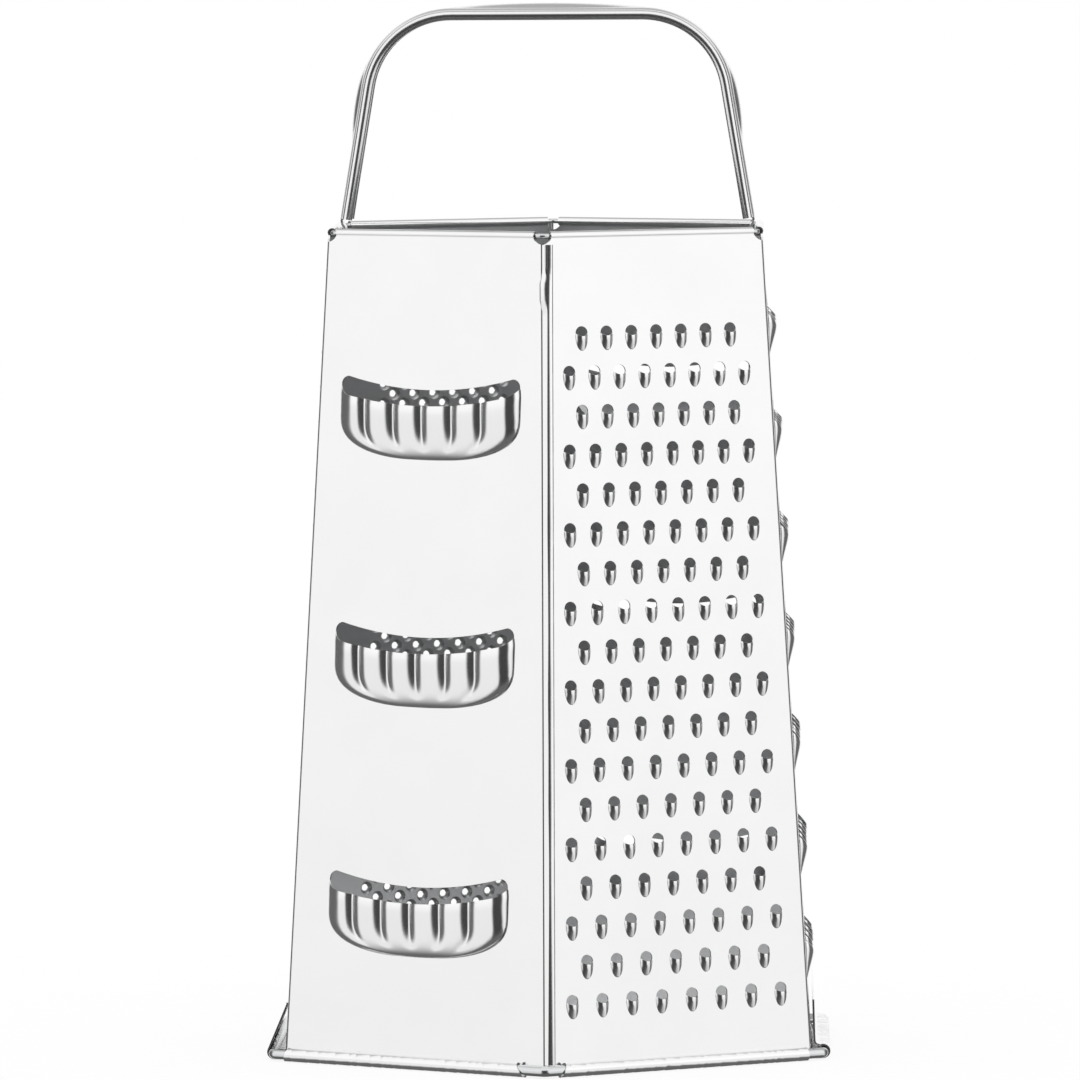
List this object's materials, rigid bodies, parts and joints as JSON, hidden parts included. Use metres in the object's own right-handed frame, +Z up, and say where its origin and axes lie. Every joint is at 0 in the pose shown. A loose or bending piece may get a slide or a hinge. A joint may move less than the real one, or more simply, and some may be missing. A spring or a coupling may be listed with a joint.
{
  "type": "box grater",
  "caption": "Tapered hexagonal box grater with punched teeth, curved slicer blades, rolled rim, wired base hem and a bow handle across the open top.",
  "frame": {"origin": "on the body's axis, at the level of the surface that the base hem stands on", "axes": "+Z up along the body's axis; -Y is the front lock seam's corner; the handle spans X"},
  "size_m": [0.1256, 0.1397, 0.2349],
  "materials": {
    "medium_wall": "bright tin-plated sheet, punched, soft shine",
    "coarse_wall": "bright tin-plated sheet, punched, soft shine",
    "straight_wall": "bright tin-plated sheet, slotted, soft shine",
    "rasp_wall": "bright tin-plated sheet, pierced, soft shine",
    "fine_wall": "bright tin-plated sheet, pricked, soft shine",
    "wavy_wall": "bright tin-plated sheet, slotted, soft shine",
    "rim_wire": "drawn steel wire, plated",
    "base_wire": "drawn steel wire, plated",
    "handle": "bright tin-plated strip with rolled edges"
  },
  "bodies": {
    "root": {"medium_grater_wall": "medium_wall", "coarse_grater_wall": "coarse_wall", "straight_slicer_wall": "straight_wall", "rasp_wall": "rasp_wall", "fine_grater_wall": "fine_wall", "wavy_slicer_wall": "wavy_wall", "rim_wire": "rim_wire", "base_wire": "base_wire", "handle": "handle"}
  },
  "joints": []
}
